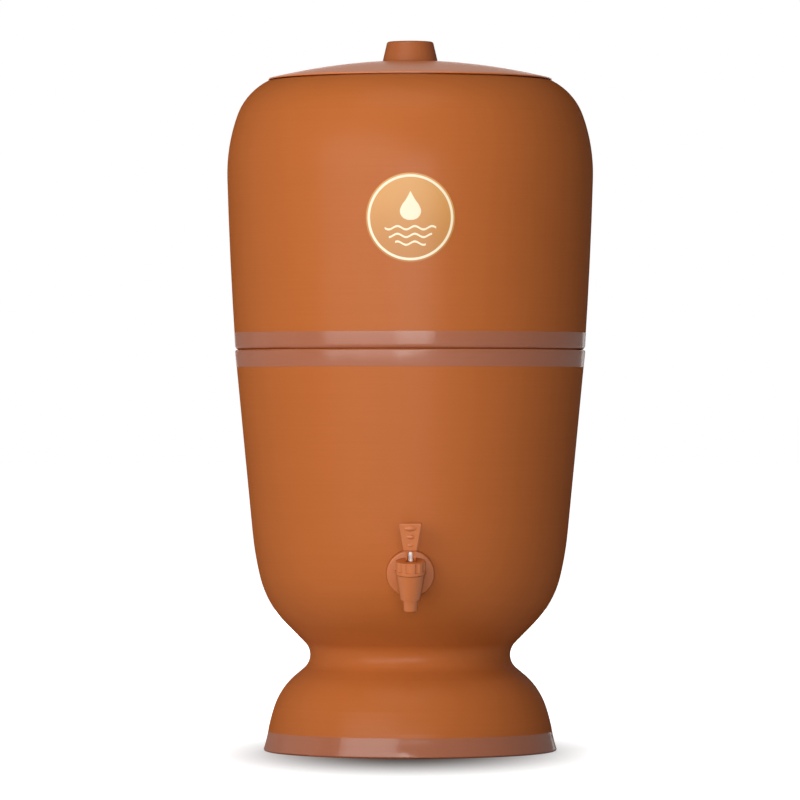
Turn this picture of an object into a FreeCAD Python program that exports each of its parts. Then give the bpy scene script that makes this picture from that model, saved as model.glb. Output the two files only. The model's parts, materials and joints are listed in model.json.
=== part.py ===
import FreeCAD, Part
import math
import os
import re

import Sketcher

# Clay water pot: an upper vessel with two filter candles drains into a lower vessel that stands
# on its own foot and carries a lever tap. Millimetres and degrees. The origin is the centre of
# the foot's base, +Z is up and the tap faces -Y.

SIZES = (
    # foot and neck of the lower vessel, from the ground up
    ("foot_radius", 108.0, "outer radius where the foot meets the ground"),
    ("foot_edge", 1.4, "rounding of the foot's lower edge"),
    ("foot_flare_curve", 82.0, "hollow curve of the foot's flared band"),
    ("foot_band_radius", 104.4, "outer radius at the top of the flared band"),
    ("foot_band_rise", 17.4, "ground to the top of the flared band"),
    ("foot_side_curve", 140.0, "gentle curve above the flared band"),
    ("foot_shoulder_radius", 100.2, "outer radius where the foot starts to close in"),
    ("foot_shoulder_rise", 15.6, "flared band to the foot's shoulder"),
    ("foot_dome_curve", 52.5, "round of the foot's shoulder"),
    ("foot_crown_radius", 85.5, "outer radius where the foot's round ends"),
    ("foot_crown_rise", 22.2, "foot's shoulder to the end of its round"),
    ("neck_radius", 73.9, "smallest outer radius, at the neck"),
    ("neck_rise", 15.7, "end of the foot's round to the neck"),
    ("neck_curve", 12.8, "hollow curve of the neck"),
    ("neck_foot_slope", 48.0, "slope below the neck, from upright"),
    ("foot_wall", 12.0, "wall of the foot"),
    ("foot_hollow_curve", 60.0, "dome curve of the hollow under the foot"),
    ("hollow_round", 6.0, "rounding at the top of the hollow"),
    # bowl and side of the lower vessel
    ("bowl_slope", 44.7, "slope of the bowl above the neck, from upright"),
    ("bowl_flank", 19.9, "length of the straight flank above the neck"),
    ("bowl_curve", 73.7, "curve of the bowl"),
    ("bowl_turn", 13.5, "slope where the bowl's curve ends"),
    ("side_curve", 241.5, "curve from the bowl into the side"),
    ("side_lean", 5.44, "outward lean of the straight side"),
    ("side_height", 133.6, "height of the straight side up to the joint"),
    ("basin_turn", 60.0, "slope where the inside curve meets the basin floor"),
    ("basin_thickness", 12.0, "clay between the basin floor and the foot's hollow"),
    ("wall", 9.0, "wall of both vessels"),
    ("lower_rim_round", 1.4, "rounding of the lower vessel's rim"),
    # upper vessel
    ("upper_edge_round", 3.4, "rounding of the upper vessel's bottom edge"),
    ("upper_side_curve", 3300.0, "very slight swell of the upper side"),
    ("belly_swell", 5.9, "widest radius less the radius at the joint"),
    ("belly_rise", 130.1, "joint to the widest level"),
    ("belly_curve", 127.2, "curve at the widest level"),
    ("belly_lean", 1.74, "lean of the side where the belly curve begins"),
    ("shoulder_turn", 19.6, "slope where the shoulder's curve begins"),
    ("shoulder_curve", 46.0, "curve of the shoulder"),
    ("seat_radius", 105.9, "outer radius of the flat seat under the lid"),
    ("seat_width", 15.0, "width of the flat seat around the mouth"),
    ("spigot_depth", 10.0, "depth of the spigot below the joint"),
    ("spigot_clearance", 1.5, "gap between the spigot and the lower vessel's rim"),
    ("spigot_round", 2.0, "rounding of the spigot's edge"),
    ("floor_thickness", 12.0, "floor of the upper vessel"),
    ("floor_cove", 8.0, "cove between the floor and the wall"),
    # lid
    ("rim_overlap", 1.1, "how far the lid's rim stops short of the seat's edge"),
    ("rim_relief", 1.1, "shadow gap under the lid's rim"),
    ("rim_relief_width", 8.0, "width of the shadow gap under the rim"),
    ("rim_thickness", 1.2, "thickness of the lid at its rim"),
    ("rim_round", 0.5, "rounding of the rim's edges"),
    ("lid_rise", 12.6, "rim to the foot of the knob"),
    ("lid_dome_curve", 466.0, "curve of the lid's dome"),
    ("lid_thickness", 8.0, "thickness of the lid under the knob"),
    ("lid_vault_rise", 7.7, "rise of the lid's vaulted underside"),
    ("ring_clearance", 2.0, "gap between the lid's ring and the mouth"),
    ("ring_width", 7.0, "width of the lid's locating ring"),
    ("ring_depth", 8.0, "depth of the lid's locating ring"),
    ("knob_foot_radius", 20.4, "radius of the knob where it leaves the lid"),
    ("knob_top_radius", 17.4, "radius of the knob at its top"),
    ("knob_height", 14.7, "height of the knob"),
    ("knob_round", 2.0, "rounding of the knob's top edge"),
    # front label
    ("label_radius", 32.0, "radius of the round label"),
    ("label_rise", 94.0, "joint to the middle of the label"),
    ("label_thickness", 0.3, "thickness of the label"),
    ("glue_gap", 0.05, "layer of glue behind the label"),
    # filter candles, one each side of the middle
    ("candle_offset", 42.0, "pot axis to each candle"),
    ("candle_radius", 25.0, "outer radius of the ceramic candle"),
    ("candle_height", 92.0, "height of the ceramic candle"),
    ("candle_wall", 6.0, "wall of the ceramic candle"),
    ("carbon_gap", 1.0, "gap between the carbon core and the candle"),
    ("dish_gap", 0.3, "gap around the candle in its dish"),
    ("dish_wall", 1.8, "wall of the candle's dish"),
    ("dish_floor", 2.5, "floor of the candle's dish"),
    ("dish_depth", 7.0, "depth of the candle's dish"),
    ("candle_stem_radius", 6.0, "radius of the candle's hollow stem"),
    ("candle_bore_radius", 2.5, "bore of the candle's stem"),
    ("candle_hole_gap", 0.8, "gap around the stem in the floor hole"),
    ("gasket_radius", 18.0, "outer radius of the gasket under the dish"),
    ("gasket_thickness", 2.5, "thickness of the gasket under the dish"),
    ("candle_washer_radius", 15.0, "outer radius of the washer under the floor"),
    ("candle_washer_thickness", 2.0, "thickness of the washer under the floor"),
    ("candle_nut_flats", 22.0, "candle nut across its flats"),
    ("candle_nut_height", 7.0, "height of the candle nut"),
    ("thread_gap", 0.1, "gap between a thread and its nut or socket"),
    # float valves under the candles
    ("valve_body_gap", 0.3, "candle nut to the float valve"),
    ("valve_body_radius", 9.5, "outer radius of the float valve body"),
    ("valve_socket_depth", 10.0, "depth of the stem's socket in the float valve"),
    ("valve_socket_slack", 1.0, "stem's end to the bottom of its socket"),
    ("valve_web", 5.0, "plastic between the socket and the outlet's mouth"),
    ("valve_outlet_radius", 2.0, "bore of the float valve's outlet"),
    ("valve_spout_radius", 3.6, "outer radius of the outlet's spout"),
    ("valve_spout_length", 3.0, "length of the outlet's spout"),
    ("valve_ear_width", 3.0, "thickness of each hinge ear"),
    ("valve_ear_depth", 4.6, "width of each hinge ear seen from the side"),
    ("valve_pin_offset", 7.5, "candle axis to the float's pin"),
    ("valve_pin_drop", 4.2, "outlet spout's mouth to the float's pin"),
    ("valve_pin_radius", 1.0, "radius of the float's pin"),
    ("valve_pin_gap", 0.08, "running gap around the float's pin"),
    ("float_arm_width", 5.0, "width of the float's arm"),
    ("float_arm_thickness", 3.0, "thickness of the float's arm"),
    ("float_ear_gap", 0.3, "gap between the arm and each ear"),
    ("float_reach", 52.0, "float's pin to the middle of the float"),
    ("float_radius", 14.0, "radius of the float"),
    ("float_height", 18.0, "height of the float"),
    ("float_round", 4.0, "rounding of the float's edges"),
    ("float_plate_radius", 5.5, "radius of the plate on top of the float"),
    ("float_stud_radius", 2.0, "radius of the stud that holds the float"),
    ("float_stud_length", 6.0, "length of the stud that holds the float"),
    ("float_stud_gap", 0.1, "gap around the stud in the float"),
    ("float_slope", 20.0, "slope of the float's arm below level when the vessel is empty"),
    ("pad_radius", 3.9, "radius of the rubber pad that shuts the outlet"),
    ("pad_recess", 1.0, "how deep the pad sits in the arm"),
    ("pad_rim", 0.6, "plastic around the pad in the arm"),
    ("pad_gap", 0.2, "gap left between the pad and the spout when shut"),
    # tap
    ("tap_drop", 28.2, "top of the side curve to the middle of the tap's flange"),
    ("tap_seat_depth", 1.5, "depth of the flat ground into the wall for the tap"),
    ("tap_seat_gap", 0.4, "gap around the flange in its flat"),
    ("flange_radius", 17.2, "radius of the tap's flange"),
    ("flange_thickness", 3.0, "thickness of the tap's flange"),
    ("flange_round", 1.2, "rounding of the flange's front edge"),
    ("flange_crown", 2.0, "how far the flange's face rises towards the neck"),
    ("outer_washer_thickness", 1.2, "thickness of the washer behind the flange"),
    ("outer_washer_inset", 1.4, "how far the washer stays inside the flange"),
    ("shank_radius", 6.6, "radius of the tap's threaded shank"),
    ("shank_bore_radius", 3.5, "bore of the shank"),
    ("shank_hole_gap", 0.9, "gap around the shank in the wall"),
    ("shank_tail", 2.5, "shank past its nut"),
    ("inner_washer_radius", 13.0, "outer radius of the washer inside the vessel"),
    ("inner_washer_thickness", 2.0, "thickness of the washer inside the vessel"),
    ("inner_seat_gap", 1.0, "gap around the washer in the inner flat"),
    ("tap_nut_flats", 23.0, "tap nut across its flats"),
    ("tap_nut_height", 8.0, "height of the tap nut"),
    ("barrel_reach", 22.0, "wall to the axis of the tap's barrel"),
    ("neck_tube_radius", 4.7, "radius of the tube between flange and barrel"),
    ("barrel_top_radius", 10.5, "radius at the top of the barrel's cone"),
    ("barrel_foot_radius", 7.3, "radius at the foot of the barrel's cone"),
    ("barrel_top_rise", 4.9, "shank axis to the top of the barrel's cone"),
    ("barrel_foot_drop", 13.5, "shank axis to the foot of the barrel's cone"),
    ("nozzle_top_radius", 5.6, "radius of the nozzle below the barrel"),
    ("nozzle_tip_radius", 4.9, "radius of the nozzle near its mouth"),
    ("nozzle_length", 9.2, "length of the nozzle below the barrel"),
    ("nozzle_round", 1.4, "rounding of the nozzle's mouth"),
    ("nozzle_bore_radius", 2.75, "bore of the nozzle and of the valve seat"),
    ("thread_radius", 8.7, "radius of the barrel's upper thread"),
    ("thread_length", 6.1, "length of the barrel's upper thread"),
    ("chamber_radius", 6.6, "radius of the barrel's chamber"),
    ("chamber_foot_radius", 5.2, "radius of the chamber at the valve seat"),
    ("chamber_cone", 6.0, "length of the chamber's lower cone"),
    ("seat_drop", 11.0, "shank axis to the valve seat"),
    # tap bonnet, stem and lever
    ("bonnet_radius", 10.9, "outer radius of the fluted bonnet"),
    ("bonnet_lip_radius", 11.1, "outer radius of the bonnet's plain lip"),
    ("bonnet_lip_height", 2.6, "height of the bonnet's plain lip"),
    ("bonnet_height", 9.5, "height of the bonnet"),
    ("bonnet_lip_round", 0.5, "rounding of the lip's edges"),
    ("bonnet_gap", 0.3, "gap between the barrel's cone and the bonnet"),
    ("bonnet_roof", 2.4, "thickness of the bonnet's top"),
    ("bonnet_round", 0.8, "rounding of the bonnet's top edge"),
    ("flute_count", 10, "flutes around the bonnet"),
    ("flute_curve", 4.0, "radius of each flute"),
    ("flute_depth", 0.7, "depth of each flute"),
    ("flute_turn", 9.0, "angle of the first flute"),
    ("stem_radius", 1.8, "radius of the tap's stem"),
    ("stem_gap", 0.15, "running gap around the stem"),
    ("stem_head_rise", 3.8, "lever pin to the top of the stem's round head"),
    ("stem_foot_radius", 3.0, "radius of the disc at the stem's foot"),
    ("stem_foot_height", 1.5, "thickness of the disc at the stem's foot"),
    ("plug_radius", 4.6, "top radius of the silicone plug"),
    ("plug_tip_radius", 3.6, "bottom radius of the silicone plug"),
    ("plug_height", 3.0, "height of the silicone plug"),
    ("plug_seat_gap", 0.1, "gap between the shut plug and its seat"),
    ("spigot_pin_radius", 1.2, "radius of the stem's spigot in the plug"),
    ("spigot_pin_length", 1.8, "length of the stem's spigot in the plug"),
    ("lever_pin_height", 2.9, "bonnet's top to the lever's pin"),
    ("lever_pin_radius", 0.75, "radius of the lever's pin"),
    ("lever_pin_gap", 0.06, "running gap around the lever's pin"),
    ("valve_lift", 3.0, "how far a quarter turn of the lever lifts the stem"),
    ("cam_gap", 0.12, "gap between the lever's cam and the bonnet"),
    ("fork_gap", 4.4, "gap between the lever's two tines"),
    ("tine_width", 1.5, "thickness of each tine"),
    ("lever_foot_rise", 4.2, "lever pin to the foot of the paddle"),
    ("lever_top_rise", 24.4, "lever pin to the top of the paddle"),
    ("lever_foot_width", 9.7, "width of the paddle at its foot"),
    ("lever_top_width", 16.5, "width of the paddle at its top"),
    ("lever_corner", 1.2, "rounding of the paddle's top corners"),
    ("lever_bevel", 0.8, "bevel around the paddle's front face"),
    ("lever_front", 1.3, "lever pin to the paddle's front face"),
    ("lever_back", 1.9, "lever pin to the paddle's back face"),
    ("lever_heel", 0.6, "rounding of the lever's heel"),
    ("grip_count", 3, "grip ridges across the paddle"),
    ("grip_thickness", 4.5, "thickness of the top grip ridge at its middle"),
    ("grip_thinning", 0.8, "how much thinner each lower ridge is"),
    ("grip_sink", 0.9, "how far the ridges' middle lines lie below the paddle's face"),
    ("grip_first_width", 10.8, "width of the top grip ridge from tip to tip"),
    ("grip_shrink", 2.2, "how much narrower each lower ridge is"),
    ("grip_top_drop", 3.4, "top of the paddle to the first grip ridge"),
    ("grip_pitch", 6.2, "distance between grip ridges"),
)

# Places worked out from the sizes, each an expression of the sizes and of the places above it.
PLACES = (
    ("foot_band_level", "foot_band_rise"),
    ("foot_shoulder_level", "foot_band_level + foot_shoulder_rise"),
    ("foot_crown_level", "foot_shoulder_level + foot_crown_rise"),
    ("neck_level", "foot_crown_level + neck_rise"),
    ("neck_centre", "neck_radius + neck_curve"),
    ("neck_foot_r", "neck_centre - neck_curve * cos(neck_foot_slope)"),
    ("neck_foot_z", "neck_level - neck_curve * sin(neck_foot_slope)"),
    ("flank_foot_r", "neck_centre - neck_curve * cos(bowl_slope)"),
    ("flank_foot_z", "neck_level + neck_curve * sin(bowl_slope)"),
    ("flank_top_r", "flank_foot_r + bowl_flank * sin(bowl_slope)"),
    ("flank_top_z", "flank_foot_z + bowl_flank * cos(bowl_slope)"),
    ("bowl_centre_r", "flank_top_r - bowl_curve * cos(bowl_slope)"),
    ("bowl_centre_z", "flank_top_z + bowl_curve * sin(bowl_slope)"),
    ("side_centre_r", "bowl_centre_r - (side_curve - bowl_curve) * cos(bowl_turn)"),
    ("side_centre_z", "bowl_centre_z + (side_curve - bowl_curve) * sin(bowl_turn)"),
    ("side_foot_r", "side_centre_r + side_curve * cos(side_lean)"),
    ("side_foot_z", "side_centre_z - side_curve * sin(side_lean)"),
    ("joint_radius", "side_foot_r + side_height * tan(side_lean)"),
    ("joint_level", "side_foot_z + side_height"),
    ("basin_edge", "bowl_centre_r + (bowl_curve - wall) * cos(basin_turn)"),
    ("basin_level", "bowl_centre_z - (bowl_curve - wall) * sin(basin_turn)"),
    ("hollow_level", "basin_level - basin_thickness"),
    ("mouth_wall", "joint_radius - wall"),
    ("floor_level", "joint_level - spigot_depth + floor_thickness"),
    ("underside", "joint_level - spigot_depth"),
    ("belly_level", "joint_level + belly_rise"),
    ("belly_centre", "joint_radius + belly_swell - belly_curve"),
    ("shoulder_centre_r", "belly_centre + (belly_curve - shoulder_curve) * cos(shoulder_turn)"),
    ("shoulder_centre_z", "belly_level + (belly_curve - shoulder_curve) * sin(shoulder_turn)"),
    ("seat_run", "seat_radius - shoulder_centre_r"),
    ("seat_level", "shoulder_centre_z + sqrt(pow(shoulder_curve; 2) - pow(seat_run; 2))"),
    ("mouth_radius", "seat_radius - seat_width"),
    ("rim_radius", "seat_radius - rim_overlap"),
    ("rim_top", "seat_level + rim_relief + rim_thickness"),
    ("dome_level", "rim_top + lid_rise"),
    ("ring_outer", "mouth_radius - ring_clearance"),
    ("ring_inner", "ring_outer - ring_width"),
    ("vault_top", "dome_level - lid_thickness"),
    ("belly_side_r", "belly_centre + belly_curve * cos(belly_lean)"),
    ("belly_side_z", "belly_level - belly_curve * sin(belly_lean)"),
    ("upper_side_foot", "joint_level + upper_edge_round"),
    ("upper_side_swell", "belly_side_r - joint_radius"),
    ("upper_side_height", "belly_side_z - upper_side_foot"),
    ("upper_side_chord", "sqrt(pow(upper_side_swell; 2) + pow(upper_side_height; 2))"),
    ("upper_side_bow", "sqrt(pow(upper_side_curve; 2) - pow(upper_side_chord / 2; 2)) / upper_side_chord"),
    ("upper_side_r", "joint_radius + upper_side_swell / 2 - upper_side_bow * upper_side_height"),
    ("upper_side_z", "upper_side_foot + upper_side_height / 2 + upper_side_bow * upper_side_swell"),
    ("label_level", "joint_level + label_rise"),
    ("candle_seat", "gasket_thickness + dish_floor"),
    ("dish_radius", "candle_radius + dish_gap + dish_wall"),
    ("candle_hole", "candle_stem_radius + candle_hole_gap"),
    ("nut_underside", "floor_thickness + candle_washer_thickness + candle_nut_height"),
    ("valve_top", "nut_underside + valve_body_gap"),
    ("valve_foot", "valve_top + valve_socket_depth + valve_web"),
    ("spout_mouth", "valve_foot + valve_spout_length"),
    ("float_pin_depth", "spout_mouth + valve_pin_drop"),
    ("stem_depth", "valve_top + valve_socket_depth - valve_socket_slack"),
    ("tap_level", "side_foot_z - tap_drop"),
    ("tap_reach", "side_centre_r + sqrt(pow(side_curve; 2) - pow(side_centre_z - tap_level; 2))"),
    ("tap_tilt", "asin((side_centre_z - tap_level) / side_curve) / 1 deg"),
    ("barrel_y", "-tap_reach - barrel_reach * cos(tap_tilt)"),
    ("barrel_z", "tap_level - barrel_reach * sin(tap_tilt)"),
    ("flange_back", "tap_seat_depth - outer_washer_thickness"),
    ("flange_front", "flange_thickness - flange_back"),
    ("tap_nut_end", "wall + inner_washer_thickness + tap_nut_height"),
    ("shank_end", "tap_nut_end + shank_tail"),
    ("nozzle_mouth", "-barrel_foot_drop - nozzle_length"),
    ("thread_top", "barrel_top_rise + thread_length"),
    ("bonnet_foot", "barrel_top_rise + bonnet_gap"),
    ("bonnet_top", "bonnet_foot + bonnet_height"),
    ("bonnet_ceiling", "bonnet_top - bonnet_roof"),
    ("pin_height", "bonnet_top + lever_pin_height"),
    ("pin_y", "barrel_y - pin_height * sin(tap_tilt)"),
    ("pin_z", "barrel_z + pin_height * cos(tap_tilt)"),
    ("plug_foot", "plug_seat_gap - seat_drop"),
    ("plug_top", "plug_foot + plug_height"),
    ("stem_top", "pin_height + stem_head_rise"),
    ("cam_rate", "valve_lift / (pi / 2)"),
    ("cam_foot", "lever_pin_height - cam_gap"),
    ("cam_half", "cam_foot + valve_lift / 2"),
    ("cam_nose", "cam_foot + valve_lift"),
    ("cam_low_curve", "cam_foot + valve_lift / 4"),
    ("cam_high_curve", "cam_foot + valve_lift * 3 / 4"),
    ("fork_half", "fork_gap / 2 + tine_width"),
    ("carbon_radius", "candle_radius - candle_wall - carbon_gap"),
    ("candle_dome", "candle_seat + candle_height - candle_radius"),
    ("ear_inner", "float_arm_width / 2 + float_ear_gap"),
    ("ear_outer", "ear_inner + valve_ear_width"),
)

WORDS = {}
PARTS = []
# the side of an arc's centre on the way round an outline
LEFT = 1
RIGHT = -1
LEAST_CUT = 0.01
FULL_TURN = 360
HEX_STEP = 60
# turn of the strip that the round label is cut from
LABEL_SPREAD = 60
# slope of the bevel around the paddle's face
BEVEL_SLOPE = 45
# each candle's number and the turn that carries it to its side of the pot
CANDLES = ((1, 0), (2, 180))

doc = FreeCAD.newDocument("clay_water_pot")
sheet = doc.addObject("Spreadsheet::Sheet", "Sizes")
for row, (alias, amount, meaning) in enumerate(SIZES, 1):
    sheet.set(f"A{row}", alias)
    sheet.set(f"B{row}", str(amount))
    sheet.set(f"C{row}", meaning)
    sheet.setAlias(f"B{row}", alias)
    WORDS[alias] = "Sizes." + alias
doc.recompute()


def cells(text):
    """Turn the plain names in an expression into references to the sheet and the places."""
    return re.sub(r"[a-z_]+", lambda word: WORDS.get(word.group(), word.group()), text)


places = doc.addObject("App::VarSet", "Places")
for name, rule in PLACES:
    places.addProperty("App::PropertyFloat", name)
    places.setExpression(name, cells(rule))
    WORDS[name] = "Places." + name
doc.recompute()


def number(text):
    """The present value of an expression of sizes and places."""
    value = sheet.evalExpression(cells(text))
    return float(getattr(value, "Value", value))


def new_body(name, frame=None):
    """A named sub-part, placed by an expression of the sizes."""
    body = doc.addObject("PartDesign::Body", name)
    body.Label = name
    if frame:
        body.setExpression("Placement", cells(frame))
    PARTS.append(body)
    return body


def drawing(body, name, role="XZ_Plane", offset=None):
    """An empty sketch on one of the body's own planes, moved in that plane's frame by offset."""
    sketch = body.newObject("Sketcher::SketchObject", name)
    support = [feature for feature in body.Origin.OriginFeatures if feature.Role == role]
    sketch.AttachmentSupport = [(support[0], "")]
    sketch.MapMode = "FlatFace"
    if offset:
        sketch.setExpression("AttachmentOffset", cells(offset))
    return sketch


def bind(sketch, kind, *reference, text):
    """Drive one dimension of a sketch by an expression of the sizes."""
    index = sketch.addConstraint(Sketcher.Constraint(kind, *reference, number(text)))
    sketch.setExpression(f"Constraints[{index}]", cells(text))


def pin_down(sketch, piece, end, corner):
    """Hold one end of a line or arc at a corner's coordinates."""
    for kind, axis, text in (("DistanceX", -2, corner[0]), ("DistanceY", -1, corner[1])):
        if text == "0":
            sketch.addConstraint(Sketcher.Constraint("PointOnObject", piece, end, axis))
        else:
            bind(sketch, kind, piece, end, text=text)


def arc_between(start, end, radius, side):
    """An arc whose centre lies to the left or right on the way from start to end."""
    chord = end - start
    across = FreeCAD.Vector(-chord.y, chord.x, 0) / chord.Length * side
    centre = (start + end) * 0.5 + across * math.sqrt(radius ** 2 - (chord.Length / 2) ** 2)
    if side == LEFT:
        return Part.Arc(start, centre - across * radius, end)
    return Part.Arc(end, centre - across * radius, start)


def polygon(sketch, corners):
    """A closed outline. A corner is (x, y), or (x, y, radius, side) where an arc leaves it."""
    first = sketch.GeometryCount
    points = [FreeCAD.Vector(number(corner[0]), number(corner[1]), 0) for corner in corners]
    starts = []
    for corner, start, end in zip(corners, points, points[1:] + points[:1]):
        piece = Part.LineSegment(start, end)
        if len(corner) > 2:
            piece = arc_between(start, end, number(corner[2]), corner[3])
        sketch.addGeometry(piece, False)
        starts.append(2 if corner[-1] == RIGHT else 1)
    for step, corner in enumerate(corners):
        piece = first + step
        following = (step + 1) % len(corners)
        sketch.addConstraint(Sketcher.Constraint(
            "Coincident", piece, 3 - starts[step], first + following, starts[following]))
        pin_down(sketch, piece, starts[step], corner)
        if len(corner) > 2:
            bind(sketch, "Radius", piece, text=corner[2])


def circle(sketch, x, y, radius):
    """A circle held by its centre and radius."""
    centre = FreeCAD.Vector(number(x), number(y), 0)
    piece = sketch.addGeometry(Part.Circle(centre, FreeCAD.Vector(0, 0, 1), number(radius)), False)
    pin_down(sketch, piece, 3, (x, y))
    bind(sketch, "Radius", piece, text=radius)


def turn_solid(body, sketch, name, axis="V_Axis", angle=FULL_TURN):
    """Turn a sketch into a solid of revolution, half of the angle to each side."""
    feature = body.newObject("PartDesign::Revolution", name)
    feature.Profile = sketch
    feature.ReferenceAxis = (sketch, [axis])
    feature.Midplane = True
    feature.Angle = angle
    doc.recompute()


def turn_cut(body, sketch, name, axis="V_Axis"):
    """Cut a full turn of a sketch out of the body."""
    before = body.Shape.Volume
    feature = body.newObject("PartDesign::Groove", name)
    feature.Profile = sketch
    feature.ReferenceAxis = (sketch, [axis])
    feature.Angle = FULL_TURN
    doc.recompute()
    must_shrink(body, before, name)


def must_shrink(body, before, name):
    """Stop if a cut took nothing away."""
    if body.Shape.Volume > before - LEAST_CUT:
        raise RuntimeError(f"{name} cuts nothing from {body.Label}")


def pad(body, sketch, name, length, midplane=False):
    """Raise a sketch into a solid, along its normal or half to each side."""
    feature = body.newObject("PartDesign::Pad", name)
    feature.Profile = sketch
    feature.Midplane = midplane
    feature.setExpression("Length", cells(length))
    doc.recompute()


def pocket(body, sketch, name, length=None):
    """Sink a sketch to a depth, or right through both ways where no depth is given."""
    before = body.Shape.Volume
    feature = body.newObject("PartDesign::Pocket", name)
    feature.Profile = sketch
    if length:
        feature.setExpression("Length", cells(length))
    else:
        feature.Type = "ThroughAll"
        feature.Midplane = True
    doc.recompute()
    must_shrink(body, before, name)
    return feature


def turned_part(name, corners, frame=None):
    """A sub-part that is a plain solid of revolution about its own Z axis."""
    body = new_body(name, frame)
    sketch = drawing(body, name + "_outline")
    polygon(sketch, corners)
    turn_solid(body, sketch, name + "_turned")
    return body


def ring_part(name, inner, outer, low, high, frame):
    """A flat ring, such as a washer or a gasket."""
    corners = [(inner, low), (outer, low), (outer, high), (inner, high)]
    return turned_part(name, corners, frame)


def hex_nut(name, flats, bore, low, height, frame):
    """A hexagonal nut with a plain bore, standing on the level low."""
    body = new_body(name, frame)
    sketch = drawing(body, name + "_hexagon", "XY_Plane", f"placement(vector(0; 0; {low}); rotationx(0))")
    reach = f"{flats} / sqrt(3)"
    corners = []
    for corner_angle in range(0, FULL_TURN, HEX_STEP):
        across = f"{reach} * cos({corner_angle})"
        along = f"{reach} * sin({corner_angle})" if corner_angle % 180 else "0"
        corners.append((across, along))
    polygon(sketch, corners)
    circle(sketch, "0", "0", bore)
    pad(body, sketch, name + "_block", height)
    return body


def lower_vessel():
    """Foot, neck, bowl and side in one piece of clay, with the basin, foot hollow and tap hole."""
    bowl_end_r = "bowl_centre_r + bowl_curve * cos(bowl_turn)"
    bowl_end_z = "bowl_centre_z - bowl_curve * sin(bowl_turn)"
    body = turned_part("lower_vessel", [
        ("0", "0"),
        ("foot_radius - foot_edge", "0", "foot_edge", LEFT),
        ("foot_radius", "foot_edge", "foot_flare_curve", RIGHT),
        ("foot_band_radius", "foot_band_level", "foot_side_curve", LEFT),
        ("foot_shoulder_radius", "foot_shoulder_level", "foot_dome_curve", LEFT),
        ("foot_crown_radius", "foot_crown_level"),
        ("neck_foot_r", "neck_foot_z", "neck_curve", RIGHT),
        ("flank_foot_r", "flank_foot_z"),
        ("flank_top_r", "flank_top_z", "bowl_curve", LEFT),
        (bowl_end_r, bowl_end_z, "side_curve", LEFT),
        ("side_foot_r", "side_foot_z"),
        ("joint_radius", "joint_level - lower_rim_round", "lower_rim_round", LEFT),
        ("joint_radius - lower_rim_round", "joint_level"),
        ("0", "joint_level"),
    ])
    basin = drawing(body, "basin_outline")
    polygon(basin, [
        ("0", "basin_level"),
        ("basin_edge", "basin_level", "bowl_curve - wall", LEFT),
        (
            "bowl_centre_r + (bowl_curve - wall) * cos(bowl_turn)",
            "bowl_centre_z - (bowl_curve - wall) * sin(bowl_turn)",
            "side_curve - wall",
            LEFT,
        ),
        (
            "side_centre_r + (side_curve - wall) * cos(side_lean)",
            "side_centre_z - (side_curve - wall) * sin(side_lean)",
        ),
        ("mouth_wall", "joint_level"),
        ("0", "joint_level"),
    ])
    turn_cut(body, basin, "basin")
    hollow = drawing(body, "hollow_outline")
    polygon(hollow, [
        ("0", "0"),
        ("foot_radius - foot_wall", "0"),
        ("foot_band_radius - foot_wall", "foot_band_level", "foot_hollow_curve", LEFT),
        ("neck_radius - foot_wall", "neck_foot_z"),
        ("neck_radius - foot_wall", "hollow_level - hollow_round", "hollow_round", LEFT),
        ("neck_radius - foot_wall - hollow_round", "hollow_level"),
        ("0", "hollow_level"),
    ])
    turn_cut(body, hollow, "foot_hollow")
    # The hole for the tap is square to the leaning wall, with a flat for each washer.
    tap_hole = drawing(
        body, "tap_hole_outline", "XY_Plane",
        "placement(vector(0; -tap_reach; tap_level); rotationx(180 + tap_tilt))")
    polygon(tap_hole, [
        ("0", "0"),
        ("0", "-wall - inner_washer_thickness"),
        ("inner_washer_radius + inner_seat_gap", "-wall - inner_washer_thickness"),
        ("inner_washer_radius + inner_seat_gap", "-wall"),
        ("shank_radius + shank_hole_gap", "-wall"),
        ("shank_radius + shank_hole_gap", "-tap_seat_depth"),
        ("flange_radius + tap_seat_gap", "-tap_seat_depth"),
        ("flange_radius + tap_seat_gap", "0"),
    ])
    turn_cut(body, tap_hole, "tap_hole")


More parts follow.
